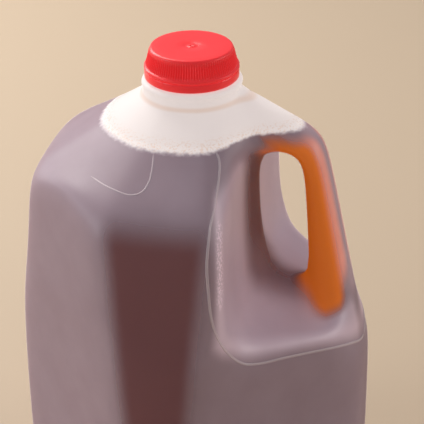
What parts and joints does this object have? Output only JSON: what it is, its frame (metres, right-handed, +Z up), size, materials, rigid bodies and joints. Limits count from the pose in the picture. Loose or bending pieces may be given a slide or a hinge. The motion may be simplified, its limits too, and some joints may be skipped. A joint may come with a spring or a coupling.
{
  "type": "beverage jug",
  "caption": "Translucent blow-moulded square jug with a handle through one corner, filled with sweet tea and closed with a red screw cap on a tamper band.",
  "frame": {"origin": "middle of the base, on the surface it stands on", "axes": "+X towards the corner with the handle, +Y through the finger hole across the parting plane, +Z up"},
  "size_m": [0.1715, 0.1718, 0.2621],
  "materials": {
    "milky_plastic": "translucent satin",
    "sweet_tea": "clear brown drink",
    "red_plastic": "semi-gloss"
  },
  "bodies": {
    "root": {"jug": "milky_plastic", "tea": "sweet_tea", "cap": "red_plastic", "tamper_band": "red_plastic"}
  },
  "joints": []
}
